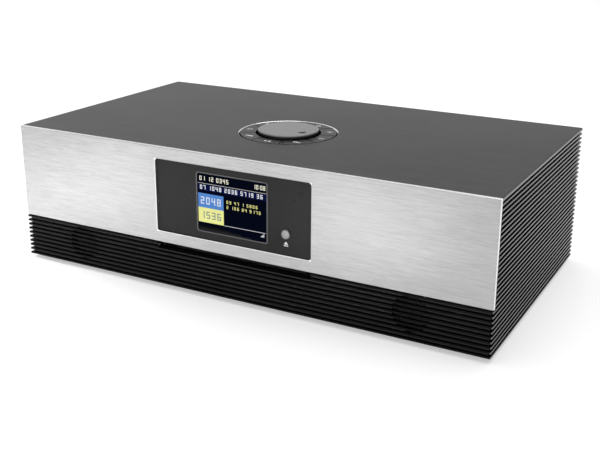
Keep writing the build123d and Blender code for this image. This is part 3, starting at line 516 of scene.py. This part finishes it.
# The dust seal: two lips of black felt glued behind the slot, which the disc slides
# between. Their grey is painted darker than felt, as painted shade that keeps the disc's way
# behind it dark.
def moulded(name, colour, rough=0.5, grain=900, depth=0.00003, **constants):
    """Plastic, rubber, paint or paper: a plain colour, with mottling and a fine texture.

    grain is the texture's scale per metre, and depth the height of its bumps.
    """
    finish = Finish(name, **constants)
    mottle = finish.noise((60, 60, 60), 3.0)
    texture = finish.noise((grain, grain, grain), 3.0, 0.6, (2, 7, 1))
    dark = tuple(value * 0.82 for value in colour[:3]) + (1.0,)
    light = tuple(min(value * 1.18, 1.0) for value in colour[:3]) + (1.0,)
    finish.drive("Base Color", finish.between(mottle * 0.6 + texture * 0.4, dark, light))
    finish.drive("Roughness", finish.spread(texture * 0.5 + mottle * 0.5, rough - 0.1, rough + 0.1))
    finish.bump(texture, depth, 0.6)
    return finish


# The felt's near-zero grey is painted shade of the slot, darker than black felt.
wear(moulded("felt", grey(0.0012), 0.95, 2500, 0.0002, Specular_IOR_Level=0.05), "slot_dust_seal")

# The window: a plate of dark tinted acrylic, clamped behind the fascia's opening. Its hard
# coat is very faintly uneven.
wear(moulded("tinted_acrylic", grey(0.004), 0.30, 200, 0.000001, IOR=1.32), "display_window")

# The screen frame: a narrow frame stamped from sheet steel, which shows as a thin line
# round the screen.
wear(brushed("frame_finish", 0.10, 0.35, 0.12), "display_frame")

# The screen: a display module with a dark glass face, held by its frame. What it shows is
# made of thin lit shapes: rows of digits, two coloured tiles, rules and level bars.
GLASS_COLOUR = (0.004, 0.006, 0.012, 1.0)
wear(moulded("screen_glass", GLASS_COLOUR, 0.2, 300, 0.000002, Specular_IOR_Level=0.03), "lcd_panel")
screen_low, screen_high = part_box("display_frame")
screen_x = (screen_low.x + screen_high.x) / 2
screen_z = (screen_low.z + screen_high.z) / 2
screen_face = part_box("lcd_panel")[0].y
SHAPE_THICKNESS = 0.00003
MM = 0.001


def flat(mesh, points, origin, right, up):
    """A thin shape: an outline in millimetres on a plane, extruded a little off it."""
    outline = [mesh.verts.new(origin + right * (u * MM) + up * (v * MM)) for u, v in points]
    face = mesh.faces.new(outline)
    made = bmesh.ops.extrude_face_region(mesh, geom=[face])["geom"]
    off_plane = right.cross(up) * SHAPE_THICKNESS
    bmesh.ops.translate(mesh, vec=off_plane, verts=of_kind(made, bmesh.types.BMVert))


def bar(left, low, wide, high):
    """The outline of an upright rectangle."""
    return [(left, low), (left + wide, low), (left + wide, low + high), (left, low + high)]


def digit_bars(value, left, low, wide, high, stroke):
    """The lit strokes of a seven-bar digit."""
    middle = low + (high - stroke) / 2
    half = (high + stroke) / 2
    right = left + wide - stroke
    strokes = {
        "top": bar(left, low + high - stroke, wide, stroke),
        "mid": bar(left, middle, wide, stroke),
        "base": bar(left, low, wide, stroke),
        "tl": bar(left, middle, stroke, half),
        "tr": bar(right, middle, stroke, half),
        "bl": bar(left, low, stroke, half),
        "br": bar(right, low, stroke, half),
    }
    strokes_of = {
        0: "top base tl tr bl br",
        1: "tr br",
        2: "top mid base tr bl",
        3: "top mid base tr br",
        4: "mid tl tr br",
        5: "top mid base tl br",
        6: "top mid base tl bl br",
        7: "top tr br",
        8: "top mid base tl tr bl br",
        9: "top mid base tl tr br",
    }
    return [strokes[key] for key in strokes_of[value].split()]


LAYER = 0.00004
SHEEN_LAYER = 0.00003
DIMMEST = 0.85


def lit(name, colour, shapes, lift=0.0):
    """Thin glowing shapes on the screen, in millimetres from its middle."""
    mesh = bmesh.new()
    origin = Vector((screen_x, screen_face - lift, screen_z))
    for points in shapes:
        flat(mesh, points, origin, Vector((1, 0, 0)), Vector((0, 0, 1)))
    glow = Finish(name, Roughness=0.3, IOR=1.03, Specular_IOR_Level=0.02, Emission_Strength=1.0)
    ripple = glow.noise((150, 150, 150), 2.0)
    dim = tuple(value * DIMMEST for value in colour) + (1.0,)
    glow.drive("Emission Color", glow.between(ripple, dim, colour + (1.0,)))
    glow.drive("Base Color", grey(0.0005))
    shown(name, mesh, glow, "cabinet")


def number(digits, left, low, wide, high, stroke, step):
    """Shapes of a row of digits. A colon takes half a place, and a gap a little more."""
    shapes = []
    for sign in digits:
        if sign == ":":
            for dot_low in (low + high * 0.2, low + high * 0.65):
                shapes.append(bar(left, dot_low, stroke, stroke))
            left += step * 0.5
        elif sign == " ":
            left += step * 0.6
        else:
            shapes += digit_bars(int(sign), left, low, wide, high, stroke)
            left += step
    return shapes


lit("screen_ground", (0.001, 0.002, 0.008), [bar(-30.2, -23.0, 60.4, 46.0)])
lit("screen_band", (0.004, 0.007, 0.050), [bar(-30.0, 9.4, 60.0, 5.2)], LAYER)
lit("screen_line", (0.55, 0.55, 0.50), [bar(-30.0, 14.9, 60.0, 0.35)], LAYER)
# Four glowing strips at the bottom left, brighter towards the bottom, are a painted reflection on the
# screen's glass.
for step, level in enumerate((0.022, 0.015, 0.009, 0.004), start=1):
    strip = bar(-30.2, -24.1 + 1.1 * step, 56.0 - 9.0 * step, 1.1)
    lit(f"screen_sheen_{step}", (level, level, level * 1.1), [strip], SHEEN_LAYER)
label = number("01 12 0345", -28.3, 17.3, 1.9, 3.4, 0.55, 2.9)
clock = number("10:08", 19.1, 17.3, 1.7, 3.4, 0.5, 2.4)
lit("screen_label", (0.95, 0.93, 0.75), label + clock, 2 * LAYER)
title = number("07 1048 2036 5719 36", -28.0, 10.4, 1.9, 3.3, 0.55, 3.05)
lit("screen_title", (0.90, 0.93, 1.0), title, 2 * LAYER)
lit("screen_tile_top", (0.10, 0.26, 0.66), [bar(-29.9, -4.1, 22.7, 11.3)], LAYER)
lit("screen_tile_base", (0.90, 0.90, 0.34), [bar(-29.9, -15.8, 22.7, 11.7)], LAYER)
notes = number("03 47 1 5806", -4.5, 2.1, 1.5, 2.4, 0.42, 2.6)
notes += number("2 106 84 9175", -4.5, -1.9, 1.5, 2.4, 0.42, 2.6)
lit("screen_notes", (0.85, 0.80, 0.30), notes, 2 * LAYER)
high_figure = number("2048", -27.6, -1.2, 3.2, 5.6, 0.8, 4.9)
lit("screen_tile_high", (0.75, 0.82, 0.92), high_figure, 2 * LAYER)
low_figure = number("1536", -27.6, -12.6, 3.2, 5.6, 0.8, 4.9)
lit("screen_tile_low", (0.22, 0.28, 0.30), low_figure, 2 * LAYER)
lit("screen_rule", (0.75, 0.75, 0.78), [bar(-6.7, -15.9, 36.0, 0.35)], LAYER)
level_bars = [bar(25.3 + 1.1 * step, -19.2, 0.6, 1.0 + 0.8 * step) for step in range(3)]
lit("screen_mark", (0.80, 0.82, 0.85), level_bars, 2 * LAYER)

# The eject button: a turned aluminium cap that slides in the window. Its sign is printed
# in light grey ink on the acrylic below it.
SIGN_HEIGHT = 0.0572
wear(brushed("button_finish", 0.25, 0.32, 0.2), "eject_button")
button_low, button_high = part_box("eject_button")
window_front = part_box("display_window")[0].y
sign_at = Vector(((button_low.x + button_high.x) / 2, window_front, SIGN_HEIGHT))
mesh = bmesh.new()
for points in ([(-1.8, -0.5), (1.8, -0.5), (0, 1.8)], bar(-1.8, -1.8, 3.6, 0.7)):
    flat(mesh, points, sign_at, Vector((1, 0, 0)), Vector((0, 0, 1)))
ink = moulded("print_ink", grey(0.70), 0.5, 1500, 0.000004)
shown("eject_sign", mesh, ink, "cabinet")

# The dial keys: nine satin anthracite keys in a ring, each with a small printed sign. The
# thin ribs of their carrier stand between them, and each key presses a switch.
key_names = [f"dial_key_{number_of_key}" for number_of_key in range(1, 10)]
KEY_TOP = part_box("dial_key_1")[1].z


def satin(name, top):
    """Anthracite that is black below its top face, in the shade of the gaps."""
    shade_of_gaps = (lambda finish: finish.axis(2) < top - 3 * HAIR, 0.001, 0.9)
    return brushed(name, 0.065, 0.36, 0.6, accents=[shade_of_gaps], Specular_Tint=grey(0.80))


wear(satin("key_finish", KEY_TOP), *key_names)
wear(satin("carrier_finish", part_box("key_carrier")[1].z), "key_carrier")
SIGN_RADIUS = 33.3 * MM
SIGN_SCALE = 1.4
KEY_ANGLE = 40
ARC_STEPS = 24


def arc(inner, outer, start, end):
    """The outline of a part of a ring, between two angles in degrees."""
    turns = [radians(start + (end - start) * step / ARC_STEPS) for step in range(ARC_STEPS + 1)]
    rim = [(outer * cos(turn), outer * sin(turn)) for turn in turns]
    return rim + [(inner * cos(turn), inner * sin(turn)) for turn in reversed(turns)]


def moved(points, aside):
    """An outline moved sideways."""
    return [(u + aside, v) for u, v in points]


arrow = [(-0.8, -1.1), (0.9, 0), (-0.8, 1.1)]
arrow_left = [(0.8, -1.1), (0.8, 1.1), (-0.9, 0)]
bars_high = (0.8, 1.8, 2.6, 1.5, 0.7)
play_and_pause = [moved(arrow, -1.3), bar(0.4, -1.1, 0.5, 2.2), bar(1.3, -1.1, 0.5, 2.2)]
skip_on = [moved(arrow, -1.2), moved(arrow, 0.5), bar(1.6, -1.1, 0.5, 2.2)]
six_dots = [bar(u - 0.3, v - 0.3, 0.6, 0.6) for u in (-1.1, 0, 1.1) for v in (-0.6, 0.6)]
levels = [bar(-1.6 + 0.8 * step, -high / 2, 0.35, high) for step, high in enumerate(bars_high)]
power = [arc(1.0, 1.4, 125, 415), bar(-0.2, 0.3, 0.4, 1.4)]
go_back = [[(-0.6, 0.9), (-1.7, 0), (-0.6, -0.9)], bar(-0.6, -0.2, 2.2, 0.4)]
list_lines = [bar(-1.4, 0.7, 2.8, 0.35), bar(-1.4, -0.2, 2.8, 0.35), bar(-1.4, -1.1, 1.7, 0.35)]
frame_ends = [bar(-1.5, -1.0, 3.0, 0.3), bar(-1.5, 0.7, 3.0, 0.3)]
frame_sides = [bar(-1.5, -0.7, 0.3, 1.4), bar(1.2, -0.7, 0.3, 1.4)]
frame_sign = frame_ends + frame_sides
skip_back = [moved(arrow_left, 1.2), moved(arrow_left, -0.5), bar(-2.1, -1.1, 0.5, 2.2)]
first_signs = (play_and_pause, skip_on, six_dots, levels, power)
signs = first_signs + (go_back, list_lines, frame_sign, skip_back)
for number_of_key, shapes in enumerate(signs, start=1):
    turn = radians(-90 + KEY_ANGLE * (number_of_key - 1))
    key_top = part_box(f"dial_key_{number_of_key}")[1].z
    spot = Vector((SIGN_RADIUS * cos(turn), dial_centre.y + SIGN_RADIUS * sin(turn), key_top))
    mesh = bmesh.new()
    for points in shapes:
        flat(mesh, points, spot, Vector((SIGN_SCALE, 0, 0)), Vector((0, SIGN_SCALE, 0)))
    shown(f"key_sign_{number_of_key}", mesh, ink, f"dial_key_{number_of_key}")

# The switches and the encoder under the dial: black moulded nylon bodies, soldered to the
# control board.
wear(moulded("switch_plastic", grey(0.02), 0.5), "push_switches", "encoder_body")

# The jog dial: an aluminium knob turned on a lathe, its top in fine rings, with a dimple
# for a fingertip near the rim. It turns on the encoder's shaft.
KNOB_RIM = 0.0004
KNOB_RIM_STEPS = 4
SKIRT = 0.0025
ROOF = 0.0022
HUB = 0.006
BORE = 0.0031
BORE_ROOF = 0.0023
FINE_FROM = 0.0105
FINE_STEP = 0.0003
FINE_COUNT = 38
TURNS = 240
DIMPLE_OUT = 0.0159
DIMPLE_ANGLE = radians(-17.5)
DIMPLE_BALL = 0.006
DIMPLE_DEPTH = 0.0011
DIMPLE_SHADE = 0.003
knob_radius = (dial_high.x - dial_low.x) / 2
knob_top, knob_foot = dial_high.z, dial_low.z
dimple = Vector((DIMPLE_OUT * cos(DIMPLE_ANGLE), DIMPLE_OUT * sin(DIMPLE_ANGLE), 0))
mesh = bmesh.new()
profile = [(radius * MM, knob_top) for radius in range(11)]
profile += [(FINE_FROM + FINE_STEP * step, knob_top) for step in range(FINE_COUNT)]
profile += [(0.0226, knob_top), (knob_radius - KNOB_RIM, knob_top)]
for step in range(1, KNOB_RIM_STEPS + 1):
    turn = pi / 2 * step / KNOB_RIM_STEPS
    out, down = KNOB_RIM * sin(turn), KNOB_RIM * cos(turn)
    profile.append((knob_radius - KNOB_RIM + out, knob_top - KNOB_RIM + down))
hollow = knob_radius - SKIRT
profile += [(knob_radius, knob_foot + KNOB_RIM), (knob_radius - KNOB_RIM, knob_foot)]
profile += [(hollow, knob_foot), (hollow, knob_top - ROOF)]
profile += [(HUB + MM / 10, knob_top - ROOF), (HUB, knob_foot)]
profile += [(BORE, knob_foot), (BORE, knob_top - BORE_ROOF), (0.0, knob_top - BORE_ROOF)]
line = [mesh.verts.new((radius, 0, z)) for radius, z in profile]
wires = [mesh.edges.new(pair) for pair in zip(line, line[1:])]
bmesh.ops.spin(
    mesh, geom=line + wires, cent=(0, 0, 0), axis=(0, 0, 1), angle=2 * pi, steps=TURNS,
    use_merge=True, use_duplicate=False,
)
bmesh.ops.remove_doubles(mesh, verts=mesh.verts, dist=0.000001)
for corner in mesh.verts:
    away = (Vector((corner.co.x, corner.co.y, 0)) - dimple).length
    if corner.co.z > knob_top - HAIR and away < DIMPLE_BALL:
        ball_low = (DIMPLE_BALL**2 - away**2) ** 0.5 - DIMPLE_BALL
        corner.co.z -= max(ball_low + DIMPLE_DEPTH, 0)
bmesh.ops.translate(mesh, vec=(dial_centre.x, dial_centre.y, 0), verts=mesh.verts)
turned_metal = Finish("turned_aluminium", Metallic=1.0)
from_centre = turned_metal.distance(dial_centre, UPRIGHT_LINE)


def ring_noise(pitch, detail):
    """Noise that changes only with the distance from the dial's centre."""
    settings = {"noise_dimensions": "1D"}
    values = {"W": from_centre * pitch, "Scale": 1.0, "Detail": detail}
    return turned_metal.add("ShaderNodeTexNoise", settings, values)


rings = ring_noise(9000, 2.0) * 0.6 + ring_noise(1500, 3.0) * 0.4
shade_of_rings = turned_metal.between(rings, grey(0.11), grey(0.25))
# Painted shade: the dimple and the skirt below the rim are painted near black.
in_dimple = turned_metal.distance(dial_centre + dimple, UPRIGHT_LINE) < DIMPLE_SHADE
below_rim = turned_metal.axis(2) < knob_top - MM
painted_shade_parts = in_dimple + (from_centre > knob_radius - KNOB_RIM / 2) * below_rim
turned_metal.drive("Base Color", turned_metal.between(painted_shade_parts, shade_of_rings, grey(0.03)))
turned_metal.drive("Roughness", turned_metal.spread(rings, 0.18, 0.34))
turned_metal.bump(rings, 0.00003, 0.5)
shown("jog_dial_shown", mesh, turned_metal, "dial_knob", ["jog_dial"])

# The base tray and the rear panel: punched and folded steel sheet with a fine black powder
# coat. The loader's chassis and its top guide are made in the same way.
powder_coat = moulded("powder_coat", grey(0.028), 0.55, 1800, 0.00006)
wear(powder_coat, "base_tray", "rear_panel", "loader_chassis", "disc_top_guide")

# The case screws: steel machine screws with hexagon sockets and a black oxide finish.
# Four hold the rear panel to the lid, and four hold the loader to the base tray.
wear(brushed("black_oxide", 0.10, 0.38, 0.2), "case_screws")

# The feet: four moulded rubber discs under the base tray, matt and slightly dusty.
# They are bonded to the tray, one near each corner.
wear(moulded("foot_rubber", grey(0.02), 0.85, 1200, 0.00005), "rubber_feet")

# The sockets at the rear: a nylon mains inlet, a nickel plated network socket, and phono
# barrels and an antenna socket that stand out of the panel.
wear(moulded("nylon", grey(0.03), 0.45, 1400, 0.00002), "mains_inlet")
wear(brushed("nickel_plate", 0.62, 0.25, 0.08), "network_socket", "line_sockets", "tuner_module")

# The boards: sheets of glass cloth laminate under green solder mask, held by screws on
# the base tray, behind the screen and under the dial.
solder_mask = moulded("solder_mask", (0.02, 0.13, 0.05, 1), 0.4, 700, 0.00002)
wear(solder_mask, "main_board", "power_board", "control_board", "display_board")

# The loader's turned and ground steel: the two rods, the lead screw, the encoder's shaft
# and the drawn cans of the three motors.
ground_steel = brushed("ground_steel", 0.45, 0.25, 0.1)
wear(ground_steel, "guide_rods", "lead_screw", "encoder_shaft")
wear(ground_steel, "spindle_motor", "sled_motor", "loading_motor")

# The loader's mouldings: turntable, clamp and traverse in black, the sled in dark grey.
# Its two gears are white acetal, and its feed roller is rubber on a shaft.
black_moulding = moulded("black_moulding", grey(0.03), 0.5)
wear(black_moulding, "disc_clamp", "turntable", "traverse_frame", "speaker_chambers")
wear(moulded("sled_moulding", grey(0.08), 0.45), "laser_sled")
wear(moulded("acetal", (0.72, 0.71, 0.66, 1), 0.45), "roller_gear", "motor_pinion")
wear(moulded("roller_rubber", grey(0.05), 0.8, 1500, 0.00005), "feed_roller")

# The amplifier's heat sink: a black anodised extrusion, cut to length and screwed down
# beside the main board.
wear(brushed("sink_finish", 0.06, 0.4, 0.3, along=1), "heat_sink")

# The transformer: a ring core wound with wire under a yellow polyester wrap. The
# capacitors beside it wear dark shrink sleeves.
wear(moulded("polyester_wrap", (0.55, 0.40, 0.08, 1), 0.35, 500, 0.0001), "transformer")
wear(moulded("shrink_sleeve", (0.02, 0.025, 0.05, 1), 0.3), "capacitors")

# The speakers: lacquered steel baskets behind the bored holes, with rubber surrounds
# glued to cones of coated paper.
wear(moulded("black_lacquer", grey(0.035), 0.4), "speaker_baskets")
wear(moulded("surround_rubber", grey(0.02), 0.6, 1200, 0.00003), "speaker_surrounds")
wear(moulded("cone_paper", grey(0.05), 0.8, 900, 0.0001), "left_speaker_cone", "right_speaker_cone")

# The leads inside: a flat plastic ribbon from the main board to the display, and a
# sheathed pair of wires to each speaker.
wear(moulded("ribbon_plastic", (0.72, 0.72, 0.68, 1), 0.4), "display_ribbon")
wear(moulded("lead_rubber", grey(0.03), 0.6), "speaker_leads")
